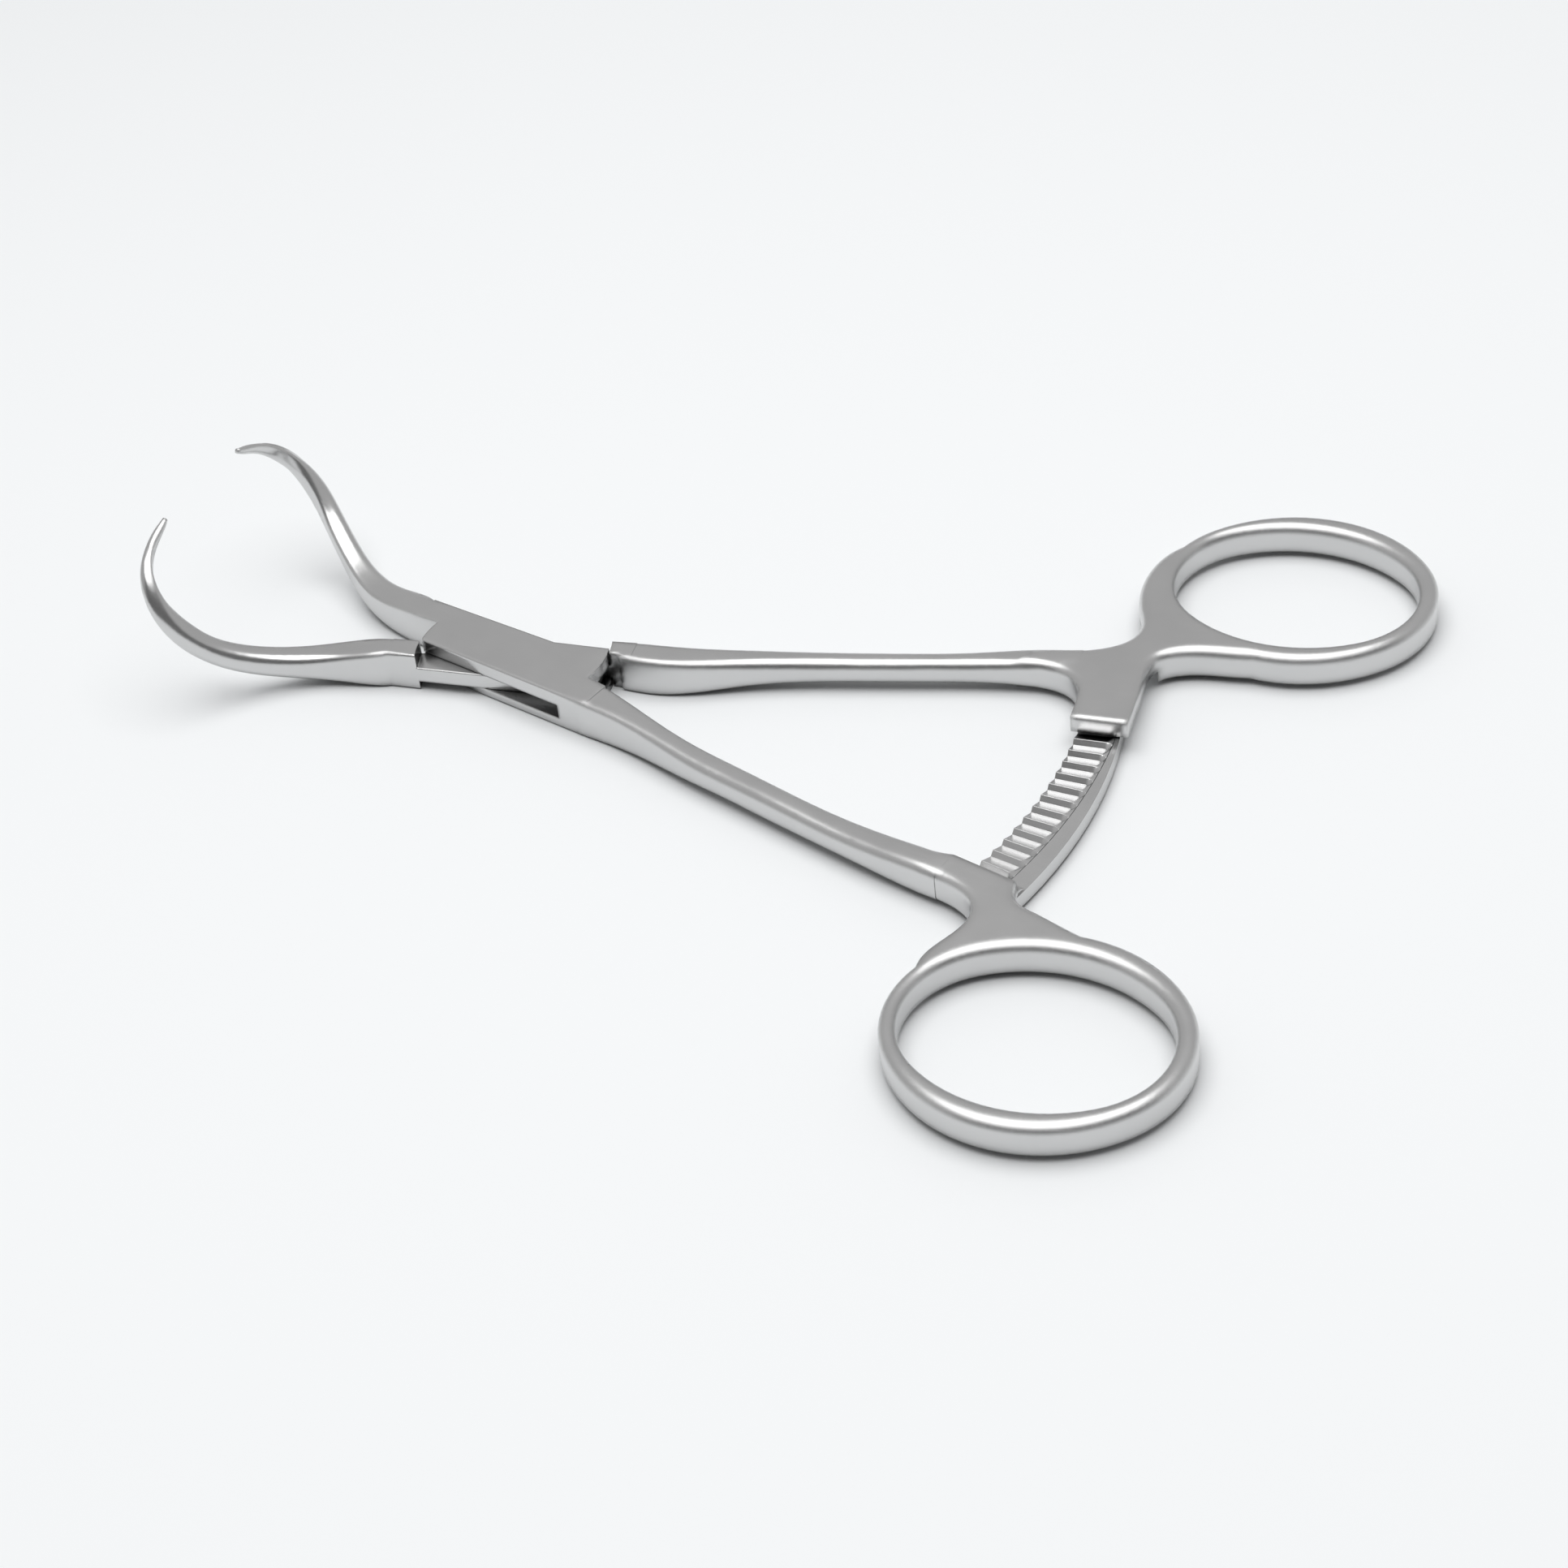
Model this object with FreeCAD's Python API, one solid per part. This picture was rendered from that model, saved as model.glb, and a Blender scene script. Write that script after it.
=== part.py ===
import FreeCAD, Part
import math
import os

# Pointed bone reduction forceps with a box lock and a long curved ratchet.
# Millimetres and degrees. The origin is on the pin's axis at the underside of the box, +X runs to the
# finger rings, +Y to the ring of the male half, and +Z is up, the way the jaws curve.
# Each half is drawn closed in a frame of its own, with v measured outwards from the line where the two
# halves meet, and is then turned by rest_spread about the pin into the half open pose.

rest_spread = 10.5

# Box lock
box_thickness = 4.2
box_outer_jaw_end = 3.1
box_outer_shank_end = 3.9
box_inner_wall = 3.0
box_flare = 4.8
flare_start = 3.9
jaw_end_radius = 9.1
shank_end_radius = 10.7
slot_floor = 1.0
slot_height = 1.7
slot_jaw_radius = 9.2
slot_shank_radius = 10.2
slot_overlap = 1.0
tongue_play = 0.05
tongue_end_play = 0.2
shoulder_play = 0.15
tongue_outer_jaw_end = 2.6
tongue_outer_shank_end = 3.4
tongue_inner = 2.9
lock_edge_round = 0.25
lock_length = 13.2
shank_root = 12.0
shank_root_drop = 0.06
pin_radius = 1.6
pin_play = 0.05

# Jaws
jaw_meeting_gap = 0.1
jaw_root_length = 12.0
jaw_tip_reach = 34.3
jaw_tip_height = 17.2
jaw_tip_gap = 0.45
jaw_tip_diameter = 0.5
jaw_swell = 0.65
jaw_swell_inner = 0.3
jaw_bow = 1.5
jaw_bow_inner = 1.45
jaw_inner_round_share = 0.45

# Handles
ring_distance = 79.2
ring_angle = 15.43
ring_tilt = -10.5
hole_length = 24.4
hole_width = 20.3
wire_side_width = 2.4
wire_end_width = 1.65
wire_shift = 0.2
ring_end_radius_share = 0.905
ring_edge_round = 0.68
ring_height = 3.4
weld_step = 0.03
edge_round = 0.85
neck_edge_round = 0.25
far_neck_edge_round = 1.25

# Ratchet
arm_inner_radius = 58.9
bar_root_radius = 64.9
bar_middle_radius = 64.1
bar_end_radius = 62.8
bar_root_angle = 3.7
bar_end_angle = -22.5
bar_thickness = 1.5
tab_outer_radius = 64.0
tab_end_angle = -3.4
arm_play = 0.15
tooth_pitch_angle = 1.77
first_tooth_step = 0.6
tooth_depth = 0.55
tooth_steep_share = 0.24
tooth_reach = 3.4
bar_teeth = 14
tab_teeth = 3
tab_tooth_step = 0.8
relief_play = 0.35
relief_reach = 16.0

middle_height = box_thickness / 2
ring_bottom = middle_height - ring_height / 2
ring_top = ring_bottom + ring_height
bar_top = ring_bottom + bar_thickness


def point(u, v, z=0.0):
    return FreeCAD.Vector(u, v, z)


def polar(radius, angle, z=0.0):
    turn = math.radians(angle)
    return point(radius * math.cos(turn), radius * math.sin(turn), z)


def arc(start, middle, end):
    return Part.Arc(start, middle, end).toShape()


def prism(edges, bottom, height):
    face = Part.Face(Part.Wire(edges))
    face.translate(FreeCAD.Vector(0, 0, bottom))
    return face.extrude(FreeCAD.Vector(0, 0, height))


def disc(radius, bottom, height):
    return Part.makeCylinder(radius, height, point(0, 0, bottom))


def part_disc(radius, u_from, u_to, bottom, height):
    """Disc about the pin's axis, kept between two planes across the half."""
    return disc(radius, bottom, height).common(block(u_from, u_to, -radius, radius, bottom, height))


def block(u_from, u_to, v_from, v_to, bottom, height):
    return Part.makeBox(u_to - u_from, v_to - v_from, height, point(u_from, v_from, bottom))


def rounded_section(centre, across, up, width, height, radii):
    """Closed wire of a rectangle with round corners, in the plane of across and up. The radii start at
    the corner that lies forwards along both, and go round by way of across."""
    a = width / 2
    b = height / 2

    def at(x, y):
        return centre + across * x + up * y

    corners = []
    for x, y, radius in zip((1, -1, -1, 1), (1, 1, -1, -1), radii):
        k = radius * (1 - math.sqrt(0.5))
        side = at(x * a, y * (b - radius))
        end = at(x * (a - radius), y * b)
        middle = at(x * (a - k), y * (b - k))
        corners.append((side, middle, end) if x * y > 0 else (end, middle, side))
    edges = []
    for index, (start, middle, end) in enumerate(corners):
        edges.append(arc(start, middle, end))
        edges.append(Part.makeLine(end, corners[(index + 1) % 4][0]))
    return Part.Wire(edges)


def shank(stations):
    """Handle bar lofted through stations of (u, middle v, width, height, corner radius)."""
    across = point(0, 1)
    up = point(0, 0, 1)
    wires = [rounded_section(point(u, v, middle_height), across, up, width, height, [radius] * 4)
             for u, v, width, height, radius in stations]
    return Part.makeLoft(wires, True, False)


def jaw(root_outer):
    """Curved jaw that bows outwards, climbs, and closes in on a sharp point."""
    root_middle = -(root_outer + jaw_meeting_gap) / 2
    root_width = root_outer - jaw_meeting_gap
    swell_width = root_outer + jaw_swell - jaw_swell_inner
    swell_middle = -(root_outer + jaw_swell + jaw_swell_inner) / 2
    bow_width = root_outer + jaw_bow - jaw_bow_inner
    bow_middle = -(root_outer + jaw_bow + jaw_bow_inner) / 2
    tip = point(-jaw_tip_reach, -jaw_tip_gap, jaw_tip_height)
    line = [
        (point(-jaw_root_length, root_middle, middle_height), root_width, box_thickness - weld_step, 0.25),
        (point(-15.5, swell_middle, 2.1), swell_width, 3.65, 0.4),
        (point(-20.2, bow_middle, 2.3), bow_width, 2.9, 0.8),
        (point(-25.2, -5.05, 3.7), 2.45, 2.5, 0.95),
        (point(-29.2, -7.0, 6.15), 2.22, 2.3, 0.95),
        (point(-32.0, -7.8, 9.3), 2.0, 2.15, 0.88),
        (point(-34.1, -6.9, 12.6), 1.6, 1.72, 0.7),
        (point(-34.95, -4.0, 15.3), 1.03, 1.15, 0.46),
        (tip, jaw_tip_diameter, jaw_tip_diameter, 0.23),
    ]
    wires = []
    for index, (centre, width, height, radius) in enumerate(line):
        before = line[max(index - 1, 0)][0]
        after = line[min(index + 1, len(line) - 1)][0]
        along = (after - before).normalize()
        if index == 0:
            along = point(-1, 0, 0)
        across = point(0, 0, 1).cross(along).normalize()
        up = along.cross(across)
        radii = [radius, radius * jaw_inner_round_share, radius, radius]
        wires.append(rounded_section(centre, across, up, width, height, radii))
    return Part.makeLoft(wires, True, False)


def oval(long_half, short_half, shift=0.0):
    """Upright oval disc of four tangent arcs on the ring's middle, its long axis turned by ring_tilt."""
    end_radius = ring_end_radius_share * short_half
    end_centre = long_half - end_radius
    side_radius = (end_centre ** 2 + short_half ** 2 - end_radius ** 2) / (2 * (short_half - end_radius))
    share = end_radius / (side_radius - end_radius)
    join_u = end_centre * (1 + share)
    join_v = (side_radius - short_half) * share
    edges = [
        arc(point(join_u, -join_v), point(long_half, 0), point(join_u, join_v)),
        arc(point(join_u, join_v), point(0, short_half), point(-join_u, join_v)),
        arc(point(-join_u, join_v), point(-long_half, 0), point(-join_u, -join_v)),
        arc(point(-join_u, -join_v), point(0, -short_half), point(join_u, -join_v)),
    ]
    body = prism(edges, ring_bottom, ring_height)
    body.translate(point(shift, 0))
    body.rotate(point(0, 0), FreeCAD.Vector(0, 0, 1), ring_tilt)
    body.translate(polar(ring_distance, ring_angle))
    return body


def finger_ring():
    long_half = hole_length / 2
    short_half = hole_width / 2
    outer = oval(long_half + wire_end_width, short_half + wire_side_width, wire_shift)
    ring = outer.cut(oval(long_half, short_half))
    rims = [edge for edge in ring.Edges if abs(edge.Vertexes[0].Z - edge.Vertexes[-1].Z) < 0.01]
    return ring.makeFillet(ring_edge_round, rims)


def spline(points):
    curve = Part.BSplineCurve()
    curve.interpolate([point(u, v) for u, v in points])
    return curve.toShape()


def web(inner, right, outer, inner_round, right_round, outer_round):
    """Flat between shank, ring and ratchet arm: three hollow sides, each edge rounded from one radius
    to another along its way."""
    middle = polar(ring_distance, ring_angle)
    sides = [spline(inner), spline(right), spline(outer)]
    edges = [
        sides[0],
        Part.makeLine(point(*inner[-1]), point(*right[0])),
        sides[1],
        Part.makeLine(point(*right[-1]), middle),
        Part.makeLine(middle, point(*outer[0])),
        sides[2],
        Part.makeLine(point(*outer[-1]), point(*inner[0])),
    ]
    body = prism(edges, ring_bottom, ring_height)
    for side, radii in ((inner, inner_round), (right, right_round), (outer, outer_round)):
        for z in (ring_bottom, ring_top):
            body = round_edge(body, point(*side[0], z), point(*side[-1], z), radii)
    return body.cut(oval((hole_length + wire_end_width) / 2, (hole_width + wire_end_width) / 2))


def round_edge(body, start, end, radii):
    for edge in body.Edges:
        first = edge.Vertexes[0].Point
        last = edge.Vertexes[-1].Point
        if first.distanceToPoint(start) < 0.01 and last.distanceToPoint(end) < 0.01:
            return body.makeFillet(radii[0], radii[1], [edge])
        if first.distanceToPoint(end) < 0.01 and last.distanceToPoint(start) < 0.01:
            return body.makeFillet(radii[1], radii[0], [edge])
    raise ValueError("no edge between the given ends")


def sector(inner, outer_points, start_angle, end_angle, bottom, height):
    """Curved arm about the pin between two angles, its outer edge an arc through three points."""
    half_angle = (start_angle + end_angle) / 2
    edges = [
        arc(polar(inner, start_angle), polar(inner, half_angle), polar(inner, end_angle)),
        Part.makeLine(polar(inner, end_angle), outer_points[2]),
        arc(outer_points[2], outer_points[1], outer_points[0]),
        Part.makeLine(outer_points[0], polar(inner, start_angle)),
    ]
    return prism(edges, bottom, height)


def tooth_cutter(angle, crest, facing):
    """Rim of the grinding wheel that leaves one saw tooth, steep on its side towards the pin's line."""
    pitch = math.radians(tooth_pitch_angle) * (arm_inner_radius + tooth_reach)
    wheel = (tooth_reach ** 2 + tooth_depth ** 2) / (2 * tooth_depth)
    steep = pitch * tooth_steep_share
    gentle = pitch - steep
    over = 1.3
    rim = wheel - over * tooth_depth
    points = [point(0, 0, wheel), point(0, -over * steep, rim), point(0, over * gentle, rim)]
    face = Part.Face(Part.makePolygon(points + [points[0]]))
    body = face.revolve(point(0, 0), FreeCAD.Vector(0, 1, 0), 360)
    height = crest + facing * (wheel - tooth_depth)
    body.translate(point(arm_inner_radius + 0.4, 0, height))
    body.rotate(point(0, 0), FreeCAD.Vector(0, 0, 1), angle)
    return body


def toothed_bar():
    """Long ratchet arm in the lower half of the handle, with its row of teeth on top."""
    start = bar_root_angle + 3.0
    outer = [polar(bar_root_radius, start), polar(bar_middle_radius, -6.5), polar(bar_end_radius, bar_end_angle)]
    bar = sector(arm_inner_radius, outer, start, bar_end_angle, ring_bottom, bar_thickness)
    for index in range(bar_teeth):
        angle = bar_root_angle - first_tooth_step - index * tooth_pitch_angle
        bar = bar.cut(tooth_cutter(angle, bar_top, 1))
    return bar


def catch_tab():
    """Short ratchet arm in the upper half of the handle, toothed underneath."""
    crest = bar_top + arm_play
    start = 6.0
    outer = [polar(tab_outer_radius, start), polar(tab_outer_radius, 1.5), polar(tab_outer_radius, tab_end_angle)]
    tab = sector(arm_inner_radius - 0.5, outer, start, tab_end_angle, crest, ring_top - crest)
    for index in range(tab_teeth):
        angle = tab_end_angle + tab_tooth_step + index * tooth_pitch_angle
        tab = tab.cut(tooth_cutter(angle, crest, -1))
    return tab


def round_long_edges(body, start, end):
    """Rounds the upper and lower edge of one long side of the lock."""
    for z in (0, box_thickness):
        rise = point(0, 0, z)
        body = round_edge(body, start + rise, end + rise, (lock_edge_round, lock_edge_round))
    return body


def box_blank():
    """Box seen from above: straight sides, a flared corner, and both ends arcs about the pin."""
    outer_angle = 180 - math.degrees(math.asin(box_outer_jaw_end / jaw_end_radius))
    jaw_corner = polar(jaw_end_radius, outer_angle)
    inner_angle = 180 + math.degrees(math.asin(jaw_meeting_gap / jaw_end_radius))
    jaw_inner = polar(jaw_end_radius, inner_angle)
    flare_angle = -math.degrees(math.asin(box_flare / shank_end_radius))
    flare = polar(shank_end_radius, flare_angle)
    shank_inner = polar(shank_end_radius, 0.3)
    edges = [
        arc(jaw_corner, polar(jaw_end_radius, (outer_angle + inner_angle) / 2), jaw_inner),
        Part.makeLine(jaw_inner, point(-jaw_root_length, -jaw_meeting_gap)),
        Part.makeLine(point(-jaw_root_length, -jaw_meeting_gap), point(-jaw_root_length, -box_inner_wall)),
        Part.makeLine(point(-jaw_root_length, -box_inner_wall), point(flare_start, -box_inner_wall)),
        Part.makeLine(point(flare_start, -box_inner_wall), flare),
        arc(flare, polar(shank_end_radius, flare_angle / 2), shank_inner),
        Part.makeLine(shank_inner, point(lock_length, 0.4)),
        Part.makeLine(point(lock_length, 0.4), point(lock_length, box_outer_shank_end)),
        Part.makeLine(point(lock_length, box_outer_shank_end), jaw_corner),
    ]
    body = prism(edges, 0, box_thickness)
    return round_long_edges(body, point(lock_length, box_outer_shank_end), jaw_corner)


def slot():
    """Opening in the box that the tongue swings in."""
    jaw_side = part_disc(slot_jaw_radius, -slot_jaw_radius, 0, slot_floor, slot_height)
    shank_side = part_disc(slot_shank_radius, -slot_overlap, slot_shank_radius, slot_floor, slot_height)
    way_out = block(0, slot_shank_radius + slot_overlap, -slot_jaw_radius, -slot_overlap / 2,
                    slot_floor, slot_height)
    return jaw_side.fuse(shank_side).fuse(way_out)


def tongue_blank():
    """Male half through the lock at full thickness, before its shoulders are cut."""
    jaw_radius = slot_jaw_radius - tongue_end_play - 0.05
    shank_radius = slot_shank_radius - tongue_end_play
    far_angle = 180 - math.degrees(math.asin(tongue_inner / jaw_radius))
    root_angle = 180 + math.degrees(math.asin(jaw_meeting_gap / jaw_radius))
    near_angle = -math.degrees(math.asin(tongue_outer_shank_end / shank_radius))
    near_root = point(-jaw_root_length, -tongue_outer_jaw_end)
    near_end = polar(shank_radius, near_angle)
    shank_inner = polar(shank_radius, 3.0)
    shoulder = shank_end_radius + shoulder_play
    edges = [
        arc(polar(jaw_radius, far_angle), polar(jaw_radius, (far_angle + root_angle) / 2),
            polar(jaw_radius, root_angle)),
        Part.makeLine(polar(jaw_radius, root_angle), point(-jaw_root_length, -jaw_meeting_gap)),
        Part.makeLine(point(-jaw_root_length, -jaw_meeting_gap), near_root),
        Part.makeLine(near_root, near_end),
        arc(near_end, polar(shank_radius, near_angle / 2), shank_inner),
        Part.makeLine(shank_inner, point(11.6, 0.3)),
        Part.makeLine(point(11.6, 0.3), point(lock_length, -0.2)),
        Part.makeLine(point(lock_length, -0.2), point(lock_length, 2.35)),
        Part.makeLine(point(lock_length, 2.35), point(shoulder - 0.3, 2.3)),
        Part.makeLine(point(shoulder - 0.3, 2.3), polar(jaw_radius, far_angle)),
    ]
    return round_long_edges(prism(edges, 0, box_thickness), near_root, near_end)


def shoulder_cuts(bottom, height):
    jaw_side = disc(jaw_end_radius + shoulder_play, bottom, height)
    shank_radius = shank_end_radius + shoulder_play
    return jaw_side.fuse(part_disc(shank_radius, 0, shank_radius, bottom, height))


def pin_shape(radius):
    return Part.makeCylinder(radius, box_thickness)


def relief_for_bar():
    """Underside recess of the male handle, which the toothed bar passes through."""
    height = bar_top + arm_play
    radius = bar_root_radius + relief_play
    ring = disc(radius, 0, height).cut(disc(arm_inner_radius - relief_play, 0, height))
    return ring.common(block(0, radius, -radius, relief_reach, 0, height))


def root_step():
    """Hollow ramp where the toothed bar meets the full thickness of its handle."""
    height = ring_top - bar_top + 0.1
    radius = height + 0.1
    reach = math.sqrt(radius ** 2 - height ** 2)
    length = bar_root_radius - arm_inner_radius + 6
    hollow = Part.makeCylinder(radius, length, point(0, -reach, height), FreeCAD.Vector(1, 0, 0))
    hollow = hollow.common(Part.makeBox(length, 4, 2 * height, point(0, -1, 0)))
    cutter = hollow.fuse(Part.makeBox(length, 12, height, point(0, -12, 0)))
    cutter.translate(point(arm_inner_radius - 3, 0, bar_top))
    cutter.rotate(point(0, 0), FreeCAD.Vector(0, 0, 1), bar_root_angle)
    return cutter


def box_handle():
    web_height = ring_height + weld_step
    stations = [
        (shank_root, 2.05, 3.7, box_thickness - 2 * shank_root_drop, 0.25),
        (14.5, 2.3, 3.25, 4.05, 0.3),
        (17.5, 2.7, 2.8, 3.83, 0.4),
        (24.0, 3.85, 2.6, 3.2, 0.7),
        (31.0, 4.75, 2.8, 2.75, edge_round),
        (42.0, 6.05, 2.8, 2.7, edge_round),
        (50.0, 6.65, 3.1, 2.95, edge_round),
        (54.0, 6.8, 3.2, web_height, edge_round),
        (57.5, 6.85, 3.3, web_height, edge_round),
    ]
    inner = [(53.5, 5.25), (55.8, 5.2), (57.6, 4.8), (58.8, 3.9)]
    right = [(64.5, 4.3), (64.9, 6.6), (65.9, 7.7), (68.5, 8.25), (71.5, 8.6), (75.0, 9.0)]
    outer = [(63.4, 20.3), (62.95, 16.0), (63.4, 12.8), (62.8, 10.5), (61.0, 9.1), (58.0, 8.45), (54.5, 8.35)]
    body = web(inner, right, outer, (edge_round, 0.3), (0.2, edge_round), (neck_edge_round, edge_round))
    body = body.cut(root_step())
    return body.fuse([shank(stations), finger_ring(), toothed_bar()])


def male_handle():
    web_height = ring_height + weld_step
    stations = [
        (shank_root, 1.1, 2.5, box_thickness - 2 * shank_root_drop, 0.2),
        (15.4, 0.95, 3.1, 4.1, 0.3),
        (19.5, 1.3, 3.05, 3.75, 0.45),
        (24.0, 2.25, 2.8, 3.2, 0.7),
        (31.0, 3.4, 2.5, 2.7, edge_round),
        (39.0, 4.35, 2.4, 2.6, edge_round),
        (47.0, 5.4, 2.5, 2.7, edge_round),
        (52.0, 6.0, 2.9, 3.1, edge_round),
        (54.5, 6.1, 3.0, web_height, edge_round),
        (57.5, 6.35, 3.2, web_height, edge_round),
    ]
    inner = [(51.0, 4.6), (54.2, 4.5), (56.6, 3.5), (57.9, 1.8), (58.35, 0.2), (58.5, -1.5)]
    right = [(64.0, 0.0), (64.1, 4.3), (64.9, 7.2), (67.0, 8.4), (70.5, 8.75), (75.0, 9.0)]
    outer = [(66.4, 28.6), (62.9, 26.0), (61.2, 21.5), (61.5, 16.0), (62.2, 12.6), (61.4, 10.1),
             (59.6, 8.7), (57.2, 7.85), (53.5, 7.3)]
    body = web(inner, right, outer, (edge_round, 0.5), (0.5, edge_round), (far_neck_edge_round, edge_round))
    body = body.fuse([shank(stations), finger_ring()])
    return body.cut(relief_for_bar()).fuse(catch_tab())


def place(body, side):
    if side < 0:
        body = body.mirror(point(0, 0), FreeCAD.Vector(0, 1, 0))
    body.rotate(point(0, 0), FreeCAD.Vector(0, 0, 1), side * rest_spread)
    return body


def box_half():
    body = box_blank().fuse([jaw(box_inner_wall), box_handle()])
    body = body.cut([slot(), pin_shape(pin_radius)])
    return place(body.removeSplitter(), -1)


def male_half():
    tongue_floor = slot_floor + tongue_play
    tongue_top = slot_floor + slot_height - tongue_play
    body = tongue_blank().fuse(jaw(tongue_outer_jaw_end))
    body = body.cut([shoulder_cuts(0, tongue_floor), shoulder_cuts(tongue_top, box_thickness)])
    body = body.fuse(male_handle())
    body = body.cut(pin_shape(pin_radius + pin_play))
    return place(body.removeSplitter(), 1)


def lock_pin():
    return place(pin_shape(pin_radius), -1)


os.makedirs("parts", exist_ok=True)
for name, make in (("box_half", box_half), ("male_half", male_half), ("lock_pin", lock_pin)):
    shape = make()
    print(name, "solids", len(shape.Solids), "valid", shape.isValid(), "volume", round(shape.Volume, 1))
    shape.exportStep("parts/" + name + ".step")
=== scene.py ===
import math

import bpy
from mathutils import Matrix, Vector


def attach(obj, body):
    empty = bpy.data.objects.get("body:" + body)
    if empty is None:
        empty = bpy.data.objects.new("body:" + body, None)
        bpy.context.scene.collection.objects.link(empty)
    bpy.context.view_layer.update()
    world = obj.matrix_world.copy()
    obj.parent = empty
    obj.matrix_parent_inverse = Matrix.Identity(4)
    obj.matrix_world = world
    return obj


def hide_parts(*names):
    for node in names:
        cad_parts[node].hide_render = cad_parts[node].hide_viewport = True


# Pointed bone reduction forceps, half open on a white table. Lengths in metres, angles in degrees.

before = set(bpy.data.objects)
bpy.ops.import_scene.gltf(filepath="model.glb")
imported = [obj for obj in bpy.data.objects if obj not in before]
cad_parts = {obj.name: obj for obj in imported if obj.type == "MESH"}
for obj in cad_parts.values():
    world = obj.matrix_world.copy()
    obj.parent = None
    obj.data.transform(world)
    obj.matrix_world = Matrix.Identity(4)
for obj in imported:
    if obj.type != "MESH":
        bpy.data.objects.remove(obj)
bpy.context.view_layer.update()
print("frame loaded:", sorted(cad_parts))


# small helpers for building node trees

def newMaterial(name):
    mat = bpy.data.materials.new(name)
    mat.use_nodes = True
    mat.node_tree.nodes.clear()
    return mat, mat.node_tree


def addNode(tree, kind, **values):
    node = tree.nodes.new(kind)
    for key, value in values.items():
        if hasattr(node, key):
            setattr(node, key, value)
        else:
            node.inputs[key].default_value = value
    return node


def feed(tree, socket, value):
    # a socket takes either another node's output or a plain number, colour or direction
    if isinstance(value, bpy.types.NodeSocket):
        tree.links.new(value, socket)
    else:
        socket.default_value = value


def calc(tree, operation, first, second=0.0, third=0.0, clamp=False):
    node = addNode(tree, "ShaderNodeMath", operation=operation, use_clamp=clamp)
    for socket, value in zip(node.inputs, (first, second, third)):
        feed(tree, socket, value)
    return node.outputs[0]


def remap(tree, value, low, high, toLow=0.0, toHigh=1.0):
    node = addNode(tree, "ShaderNodeMapRange", interpolation_type="SMOOTHSTEP")
    tree.links.new(value, node.inputs["Value"])
    for name, number in (("From Min", low), ("From Max", high), ("To Min", toLow), ("To Max", toHigh)):
        node.inputs[name].default_value = number
    return node.outputs["Result"]


# where a Mix node keeps its first, second and result sockets for each kind of data
mixSockets = {"FLOAT": (2, 3, 0), "VECTOR": (4, 5, 1), "RGBA": (6, 7, 2)}


def blend(tree, kind, share, first, second):
    node = addNode(tree, "ShaderNodeMix", data_type=kind)
    one, two, result = mixSockets[kind]
    tree.links.new(share, node.inputs["Factor"])
    feed(tree, node.inputs[one], first)
    feed(tree, node.inputs[two], second)
    return node.outputs[result]


def vectorMath(tree, operation, first, second=None):
    node = addNode(tree, "ShaderNodeVectorMath", operation=operation)
    tree.links.new(first, node.inputs[0])
    if second is not None:
        feed(tree, node.inputs[1], second)
    return node


def pointFrom(tree, x, y, z=0.0):
    node = addNode(tree, "ShaderNodeCombineXYZ")
    for socket, value in zip(node.inputs, (x, y, z)):
        feed(tree, socket, value)
    return node.outputs[0]


# ratchet: saw teeth ground across the long arm, each with a long slope and a steep face, whose grooves
# run out just inside the arm's outer edge

ratchet = {
    "teeth": 14,
    "stepsPerTooth": 13,
    "slopeSteps": 10,
    "startStep": 6,          # the first tooth starts part of the way down its slope
    "stepsOutwards": 20,
    "startAngle": -14.96,
    "pitchAngle": 1.77,
    "innerRadius": 0.0589,
    "outerRadius": 0.06275,
    "crestHeight": 0.0019,
    "toothDepth": 0.0005,
    "runOut": 0.0006,
    "runOutCurve": 1.5,
    "footHeight": 0.0013,
    "seatPlay": 0.00005,
    "seatInnerPlay": 0.0004,
}


def rowInputs(steel, changes):
    size = {**ratchet, **changes}
    return {
        "Steps": size["teeth"] * size["stepsPerTooth"] - size["startStep"],
        "Start Step": size["startStep"],
        "Steps Outwards": size["stepsOutwards"],
        "Steps Per Tooth": float(size["stepsPerTooth"]),
        "Slope Share": size["slopeSteps"] / size["stepsPerTooth"],
        "Start Angle": math.radians(size["startAngle"]),
        "Pitch Angle": math.radians(size["pitchAngle"]),
        "Inner Radius": size["innerRadius"],
        "Outer Radius": size["outerRadius"],
        "Crest Height": size["crestHeight"],
        "Tooth Depth": size["toothDepth"],
        "Run Out": size["runOut"],
        "Run Out Curve": size["runOutCurve"],
        "Foot Height": size["footHeight"],
        "Steel": steel,
    }


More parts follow.
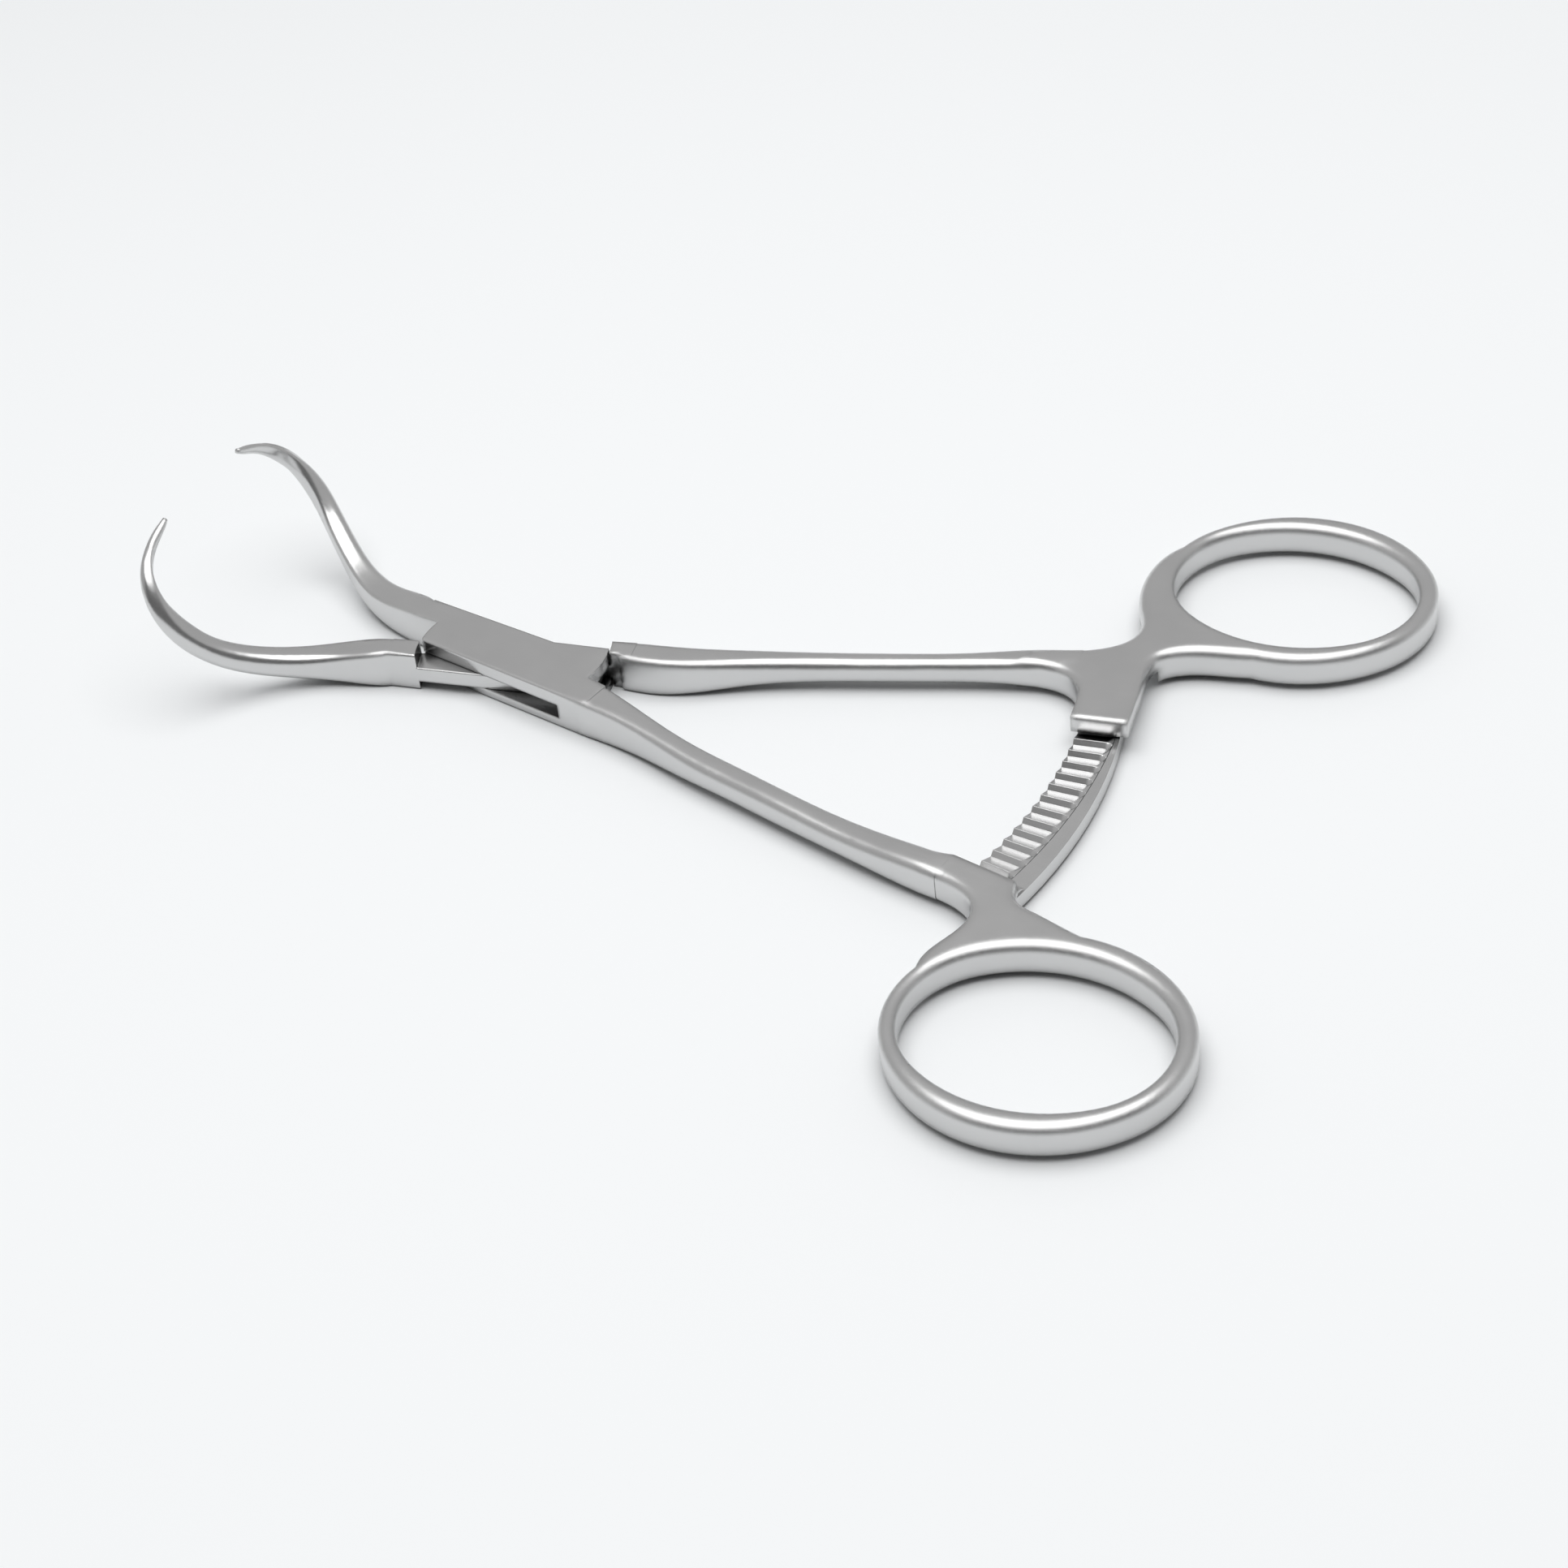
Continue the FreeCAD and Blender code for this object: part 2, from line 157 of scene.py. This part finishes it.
def makeRowTree(inputs):
    tree = bpy.data.node_groups.new("ratchetTeeth", "GeometryNodeTree")
    kinds = {int: "NodeSocketInt", float: "NodeSocketFloat"}
    for name, value in inputs.items():
        kind = kinds.get(type(value), "NodeSocketMaterial")
        tree.interface.new_socket(name, in_out="INPUT", socket_type=kind)
    tree.interface.new_socket("Geometry", in_out="OUTPUT", socket_type="NodeSocketGeometry")
    given = tree.nodes.new("NodeGroupInput").outputs
    links = tree.links

    # a block one unit wide, to be bent round the pin: X is outwards, Y is round the arm
    block = tree.nodes.new("GeometryNodeMeshCube")
    block.inputs["Size"].default_value = (1, 1, 1)
    links.new(calc(tree, "ADD", given["Steps Outwards"], 1), block.inputs["Vertices X"])
    links.new(calc(tree, "ADD", given["Steps"], 1), block.inputs["Vertices Y"])
    place = tree.nodes.new("ShaderNodeSeparateXYZ")
    links.new(tree.nodes.new("GeometryNodeInputPosition").outputs[0], place.inputs[0])
    outwards = calc(tree, "ADD", place.outputs[0], 0.5)
    aroundPin = calc(tree, "ADD", place.outputs[1], 0.5)
    step = calc(tree, "MULTIPLY_ADD", aroundPin, given["Steps"], given["Start Step"])
    pitches = calc(tree, "DIVIDE", step, given["Steps Per Tooth"])
    width = calc(tree, "SUBTRACT", given["Outer Radius"], given["Inner Radius"])
    radius = calc(tree, "MULTIPLY_ADD", outwards, width, given["Inner Radius"])
    angle = calc(tree, "MULTIPLY_ADD", pitches, given["Pitch Angle"], given["Start Angle"])

    # depth of the groove below the crests: a slope, a steep face and the run-out at the outer edge
    along = calc(tree, "FRACT", pitches)
    slope = calc(tree, "DIVIDE", along, given["Slope Share"])
    steepShare = calc(tree, "SUBTRACT", 1.0, given["Slope Share"])
    steep = calc(tree, "DIVIDE", calc(tree, "SUBTRACT", 1.0, along), steepShare)
    toEdge = calc(tree, "SUBTRACT", given["Outer Radius"], radius)
    rise = calc(tree, "SUBTRACT", 1.0, calc(tree, "DIVIDE", toEdge, given["Run Out"]), clamp=True)
    rise = calc(tree, "POWER", rise, given["Run Out Curve"])
    share = calc(tree, "SUBTRACT", calc(tree, "MINIMUM", slope, steep), rise, clamp=True)
    depth = calc(tree, "MULTIPLY", share, given["Tooth Depth"])
    top = calc(tree, "SUBTRACT", given["Crest Height"], depth)
    isTop = calc(tree, "GREATER_THAN", place.outputs[2], 0.0)
    aboveFoot = calc(tree, "SUBTRACT", top, given["Foot Height"])
    height = calc(tree, "MULTIPLY_ADD", isTop, aboveFoot, given["Foot Height"])

    x = calc(tree, "MULTIPLY", radius, calc(tree, "COSINE", angle))
    y = calc(tree, "MULTIPLY", radius, calc(tree, "SINE", angle))
    move = tree.nodes.new("GeometryNodeSetPosition")
    links.new(block.outputs["Mesh"], move.inputs["Geometry"])
    links.new(pointFrom(tree, x, y, height), move.inputs["Position"])
    real = tree.nodes.new("GeometryNodeRealizeInstances")
    links.new(move.outputs[0], real.inputs[0])
    coat = tree.nodes.new("GeometryNodeSetMaterial")
    links.new(real.outputs[0], coat.inputs["Geometry"])
    links.new(given["Steel"], coat.inputs["Material"])
    out = tree.nodes.new("NodeGroupOutput")
    links.new(coat.outputs[0], out.inputs[0])
    return tree


# satin steel: a fine brushed grain along each half, a cloudy polish, polished rounded edges with a painted
# highlight, painted shade in hollows and ground streaks on the teeth

satinSteel = {
    "darkColor": (0.57, 0.57, 0.572, 1),
    "lightColor": (0.665, 0.665, 0.662, 1),
    "cloudShareOfColor": 0.6,
    "flatRoughness": 0.25,
    "cloudRoughness": 0.07,
    "grainRoughness": 0.06,
    "edgeRoughness": 0.12,
    "cloudsPerMetre": 170,
    "grainLengthPerMetre": 260,
    "grainWidthPerMetre": 9500,
    "grainDepth": 0.0000022,
    "grainShareOfDepth": 0.7,
    "pitsPerMetre": 3500,
    "pinRadius": 0.0016,
}

# rounding of the edges, which grows between two distances from the pin's axis
edgeRounding = {
    "lock": 0.00035,
    "shank": 0.0011,
    "ring": 0.0016,
    "lockToShank": (0.009, 0.014),
    "shankToRing": (0.062, 0.068),
    "jawShare": 0.55,
    "jawToLock": (-0.022, -0.010),
    "toothedArm": 0.00008,
    "toothedArmInner": (0.0581, 0.0585),
    "toothedArmOuter": (0.0647, 0.0651),
    "toothedArmTop": (0.0021, 0.0023),
    # where the rounded edges begin to get the lower roughness and the painted highlight, and where both
    # reach full
    "brightFrom": 0.995,     # how far the rounded surface leans from the flat one
    "brightTo": 0.8,
}

# painted shade in hollows: how far the occlusion reaches and how dark it paints the base colour
hollows = {
    "reach": 0.002,
    "shade": 0.1,
    "openFrom": 0.2,
    "openTo": 0.7,
}

groundStreaks = {
    "perMetre": 11000,
    "stretchOutwards": 0.03,
    "depth": 0.000007,
    "inner": (0.0587, 0.0589),
    "outer": (0.0629, 0.0632),
}


def noiseAt(tree, vector, detail=2.0, roughness=0.5):
    node = addNode(tree, "ShaderNodeTexNoise", Scale=1.0, Detail=detail, Roughness=roughness)
    tree.links.new(vector, node.inputs["Vector"])
    return node.outputs["Fac"]


def scaled(tree, vector, scale, turn=0.0):
    node = addNode(tree, "ShaderNodeMapping")
    node.inputs["Rotation"].default_value = (0, 0, turn)
    node.inputs["Scale"].default_value = scale
    tree.links.new(vector, node.inputs["Vector"])
    return node.outputs[0]


def roundingAt(tree, x, z, radius, toothed):
    look = edgeRounding
    rounding = remap(tree, radius, *look["lockToShank"], look["lock"], look["shank"])
    extra = remap(tree, radius, *look["shankToRing"], 0, look["ring"] - look["shank"])
    rounding = calc(tree, "ADD", rounding, extra)
    rounding = calc(tree, "MULTIPLY", rounding, remap(tree, x, *look["jawToLock"], look["jawShare"], 1))
    if not toothed:
        return rounding
    # the teeth keep sharp crests
    within = calc(tree, "MULTIPLY", remap(tree, radius, *look["toothedArmInner"]),
                  remap(tree, radius, *look["toothedArmOuter"], 1, 0))
    onArm = calc(tree, "MULTIPLY", within, remap(tree, z, *look["toothedArmTop"], 1, 0))
    return blend(tree, "FLOAT", onArm, rounding, look["toothedArm"])


def roundedNormal(tree, x, z, radius, toothed):
    # the flush pin's outline doesn't show, so the surface stays flat across it
    bevel = addNode(tree, "ShaderNodeBevel", samples=10)
    tree.links.new(roundingAt(tree, x, z, radius, toothed), bevel.inputs["Radius"])
    plain = addNode(tree, "ShaderNodeNewGeometry").outputs["Normal"]
    pinRadius = satinSteel["pinRadius"]
    offPin = remap(tree, radius, pinRadius * 1.15, pinRadius * 1.3)
    normal = blend(tree, "VECTOR", offPin, plain, bevel.outputs[0])
    lean = vectorMath(tree, "DOT_PRODUCT", normal, plain).outputs["Value"]
    # this edge mask lowers the roughness (polish) and also paints a highlight: a lighter colour on the
    # rounded edges
    edge = remap(tree, lean, edgeRounding["brightFrom"], edgeRounding["brightTo"])
    return normal, edge


def raised(tree, height, depth, normal):
    bump = addNode(tree, "ShaderNodeBump", Strength=1.0, Distance=depth)
    tree.links.new(height, bump.inputs["Height"])
    tree.links.new(normal, bump.inputs["Normal"])
    return bump.outputs[0]


def streakedByWheel(tree, split, radius, normal):
    # the grinding wheel ran outwards from the pin across every tooth
    look = groundStreaks
    density = look["perMetre"]
    angle = calc(tree, "ARCTAN2", split.outputs[1], split.outputs[0])
    across = calc(tree, "MULTIPLY", angle, ratchet["innerRadius"] * density)
    outward = calc(tree, "MULTIPLY", radius, density * look["stretchOutwards"])
    upward = calc(tree, "MULTIPLY", split.outputs[2], density)
    streaks = noiseAt(tree, pointFrom(tree, across, outward, upward), 3.0, 0.65)
    zone = calc(tree, "MULTIPLY", remap(tree, radius, *look["inner"]),
                remap(tree, radius, *look["outer"], 1.0, 0.0))
    return raised(tree, calc(tree, "MULTIPLY", streaks, zone), look["depth"], normal)


def paintedShadeInHollows(tree, color):
    # painted shade: ambient occlusion darkens the base colour in slots, gaps and along the table, where
    # light doesn't reach
    node = addNode(tree, "ShaderNodeAmbientOcclusion", samples=8, Distance=hollows["reach"])
    openness = remap(tree, node.outputs["AO"], hollows["openFrom"], hollows["openTo"], hollows["shade"], 1)
    shaded = vectorMath(tree, "SCALE", color)
    tree.links.new(openness, shaded.inputs["Scale"])
    return shaded.outputs[0]


def makeSatinSteel(name, turnDegrees, toothed):
    mat, tree = newMaterial(name)
    look = satinSteel
    place = addNode(tree, "ShaderNodeTexCoord").outputs["Object"]
    split = addNode(tree, "ShaderNodeSeparateXYZ")
    tree.links.new(place, split.inputs[0])
    x, y, z = split.outputs
    radius = vectorMath(tree, "LENGTH", pointFrom(tree, x, y)).outputs["Value"]

    clouds = noiseAt(tree, scaled(tree, place, (look["cloudsPerMetre"],) * 3), 3.0, 0.55)
    turned = scaled(tree, place, (1, 1, 1), -math.radians(turnDegrees))
    along = look["grainLengthPerMetre"]
    across = look["grainWidthPerMetre"]
    grain = noiseAt(tree, scaled(tree, turned, (along, across, across)), 3.0, 0.6)
    pits = noiseAt(tree, scaled(tree, place, (look["pitsPerMetre"],) * 3), 2.0)

    normal, edge = roundedNormal(tree, x, z, radius, toothed)
    grainShare = look["grainShareOfDepth"]
    pitted = calc(tree, "MULTIPLY", pits, 1 - grainShare)
    height = calc(tree, "MULTIPLY_ADD", grain, grainShare, pitted)
    normal = raised(tree, height, look["grainDepth"], normal)
    if toothed:
        normal = streakedByWheel(tree, split, radius, normal)

    cloudy = look["cloudRoughness"]
    roughness = calc(tree, "MULTIPLY_ADD", clouds, cloudy, look["flatRoughness"] - cloudy / 2)
    grainRoughness = calc(tree, "MULTIPLY", calc(tree, "SUBTRACT", grain, 0.5), look["grainRoughness"])
    roughness = calc(tree, "ADD", roughness, grainRoughness)
    roughness = blend(tree, "FLOAT", edge, roughness, look["edgeRoughness"])

    cloudShare = look["cloudShareOfColor"]
    tone = calc(tree, "MULTIPLY_ADD", clouds, cloudShare, calc(tree, "MULTIPLY", grain, 1 - cloudShare))
    # painted highlight: the colour goes lighter on rounded edges, besides the random tone of clouds and
    # grain
    color = blend(tree, "RGBA", calc(tree, "MAXIMUM", tone, edge), look["darkColor"], look["lightColor"])

    shader = addNode(tree, "ShaderNodeBsdfPrincipled", Metallic=1.0)
    tree.links.new(paintedShadeInHollows(tree, color), shader.inputs["Base Color"])
    tree.links.new(roughness, shader.inputs["Roughness"])
    tree.links.new(normal, shader.inputs["Normal"])
    out = addNode(tree, "ShaderNodeOutputMaterial")
    tree.links.new(shader.outputs[0], out.inputs[0])
    print("material", name)
    return mat


halfSpread = 10.5            # each half lies turned by this much from the line between the halves
boxSteel = makeSatinSteel("boxHalfSteel", -halfSpread, True)
maleSteel = makeSatinSteel("maleHalfSteel", halfSpread, False)


# finished pieces: merged copies of the solids, shaded smoothly up to their real edges

pieceFinish = {
    "mergeDistance": 0.000002,
    "sharpAngle": 28,
}


def plainMesh(obj, name):
    bpy.context.view_layer.update()
    graph = bpy.context.evaluated_depsgraph_get()
    mesh = bpy.data.meshes.new_from_object(obj.evaluated_get(graph))
    mesh.name = name
    return mesh


def shadeToEdges(mesh):
    mesh.shade_smooth()
    mesh.set_sharp_from_angle(angle=math.radians(pieceFinish["sharpAngle"]))


def makeRow(name, steel, changes):
    inputs = rowInputs(steel, changes)
    obj = bpy.data.objects.new(name, bpy.data.meshes.new(name))
    bpy.context.scene.collection.objects.link(obj)
    row = obj.modifiers.new("row", "NODES")
    row.node_group = makeRowTree(inputs)
    for socket in row.node_group.interface.items_tree:
        if socket.in_out == "INPUT":
            row[socket.identifier] = inputs[socket.name]
    mesh = plainMesh(obj, name)
    obj.modifiers.remove(row)
    obj.data = mesh
    return obj


def makeSeat(steel):
    # the place in the long arm that the toothed row fills, a little wider and higher than the row
    play = ratchet["seatPlay"]
    return makeRow("ratchetSeat", steel, {
        "innerRadius": ratchet["innerRadius"] - ratchet["seatInnerPlay"],
        "outerRadius": ratchet["outerRadius"] + play,
        "crestHeight": ratchet["crestHeight"] + play * 2,
        "toothDepth": 0.0,
        "stepsOutwards": 1,
    })


def makeTeeth(body, steel):
    obj = makeRow("ratchetTeeth", steel, {})
    shadeToEdges(obj.data)
    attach(obj, body)
    print("ratchet teeth:", len(obj.data.polygons), "faces")


def mergedCopy(nodeName):
    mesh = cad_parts[nodeName].data.copy()
    mesh.name = nodeName + "Finished"
    obj = bpy.data.objects.new(mesh.name, mesh)
    bpy.context.scene.collection.objects.link(obj)
    for other in bpy.context.selected_objects:
        other.select_set(False)
    bpy.context.view_layer.objects.active = obj
    obj.select_set(True)
    bpy.ops.object.mode_set(mode="EDIT")
    bpy.ops.mesh.select_all(action="SELECT")
    bpy.ops.mesh.remove_doubles(threshold=pieceFinish["mergeDistance"])
    bpy.ops.object.mode_set(mode="OBJECT")
    if mesh.has_custom_normals:
        bpy.ops.mesh.customdata_custom_splitnormals_clear()
    return obj


def cutSeat(obj, seat):
    cut = obj.modifiers.new("seat", "BOOLEAN")
    cut.operation = "DIFFERENCE"
    cut.solver = "EXACT"
    cut.object = seat
    mesh = plainMesh(obj, obj.name)
    obj.modifiers.remove(cut)
    obj.data = mesh
    bpy.data.objects.remove(seat)


def finishPiece(nodeName, body, steel, seat=None):
    obj = mergedCopy(nodeName)
    if seat:
        cutSeat(obj, seat)
    shadeToEdges(obj.data)
    weigh = obj.modifiers.new("weigh", "WEIGHTED_NORMAL")
    weigh.keep_sharp = True
    obj.data.materials.clear()
    obj.data.materials.append(steel)
    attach(obj, body)
    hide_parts(nodeName)
    print("finished", nodeName, len(obj.data.polygons))


finishPiece("box_half", "box_side", boxSteel, makeSeat(boxSteel))
makeTeeth("box_side", boxSteel)
finishPiece("male_half", "male_side", maleSteel)
finishPiece("lock_pin", "box_side", boxSteel)


# table, light and camera

studio = {
    "middle": 0.036,
    "floorSize": 3.0,
    "floorColor": (0.925, 0.94, 0.95, 1),
    "roomColor": (0.52, 0.52, 0.52, 1),
    "darkSideColor": (0.17, 0.17, 0.17, 1),
    "darkSideAzimuth": 29.55,
    "shadeStart": 0.15,
    "shadeFull": 0.6,
    "softboxHeight": 0.6,
    "softboxSize": 0.70,
    "softboxPower": 2.75,
}


def makeTable():
    bpy.ops.mesh.primitive_plane_add(size=studio["floorSize"], location=(studio["middle"], 0, 0))
    floor = bpy.context.object
    floor.name = "table"
    mat, tree = newMaterial("tableWhite")
    shader = addNode(tree, "ShaderNodeBsdfDiffuse", Color=studio["floorColor"])
    out = addNode(tree, "ShaderNodeOutputMaterial")
    tree.links.new(shader.outputs[0], out.inputs[0])
    floor.data.materials.append(mat)


def makeRoom():
    # an even grey room with one darker side, which the rounded edges mirror as their dark line
    world = bpy.data.worlds.new("studio")
    bpy.context.scene.world = world
    world.use_nodes = True
    tree = world.node_tree
    tree.nodes.clear()
    azimuth = math.radians(studio["darkSideAzimuth"])
    direction = addNode(tree, "ShaderNodeTexCoord").outputs["Generated"]
    darkSide = (math.sin(azimuth), -math.cos(azimuth), 0)
    towards = vectorMath(tree, "DOT_PRODUCT", direction, darkSide).outputs["Value"]
    shade = remap(tree, towards, studio["shadeStart"], studio["shadeFull"])
    color = blend(tree, "RGBA", shade, studio["roomColor"], studio["darkSideColor"])
    back = addNode(tree, "ShaderNodeBackground", Strength=1.0)
    tree.links.new(color, back.inputs["Color"])
    out = addNode(tree, "ShaderNodeOutputWorld")
    tree.links.new(back.outputs[0], out.inputs[0])


def makeSoftbox():
    light = bpy.data.lights.new("softbox", "AREA")
    light.shape = "DISK"
    light.size = studio["softboxSize"]
    light.energy = studio["softboxPower"]
    obj = bpy.data.objects.new("softbox", light)
    obj.location = (studio["middle"], 0, studio["softboxHeight"])
    bpy.context.scene.collection.objects.link(obj)


cameraView = {
    "target": (0.03658, -0.01148, 0.0042),
    "azimuth": 29.55,
    "elevation": 37.37,
    "roll": 6.81,
    "distance": 0.3114,
    "sensorSize": 36,
    "lensPerSensor": 2.117,
    "clipStart": 0.01,
}


def makeCamera():
    azimuth = math.radians(cameraView["azimuth"])
    elevation = math.radians(cameraView["elevation"])
    roll = math.radians(cameraView["roll"])
    back = Vector((math.sin(azimuth) * math.cos(elevation),
                   -math.cos(azimuth) * math.cos(elevation),
                   math.sin(elevation)))
    right = Vector((0, 0, 1)).cross(back).normalized()
    up = back.cross(right)
    camRight = right * math.cos(roll) - up * math.sin(roll)
    camUp = right * math.sin(roll) + up * math.cos(roll)
    data = bpy.data.cameras.new("camera")
    data.sensor_width = cameraView["sensorSize"]
    data.sensor_height = cameraView["sensorSize"]
    data.lens = cameraView["lensPerSensor"] * cameraView["sensorSize"]
    data.clip_start = cameraView["clipStart"]
    cam = bpy.data.objects.new("camera", data)
    bpy.context.scene.collection.objects.link(cam)
    place = Vector(cameraView["target"]) + back * cameraView["distance"]
    turn = Matrix((camRight, camUp, back)).transposed().to_4x4()
    cam.matrix_world = Matrix.Translation(place) @ turn
    bpy.context.scene.camera = cam


makeTable()
makeRoom()
makeSoftbox()
makeCamera()
bpy.context.scene.view_settings.view_transform = "Standard"
print("stage ready")
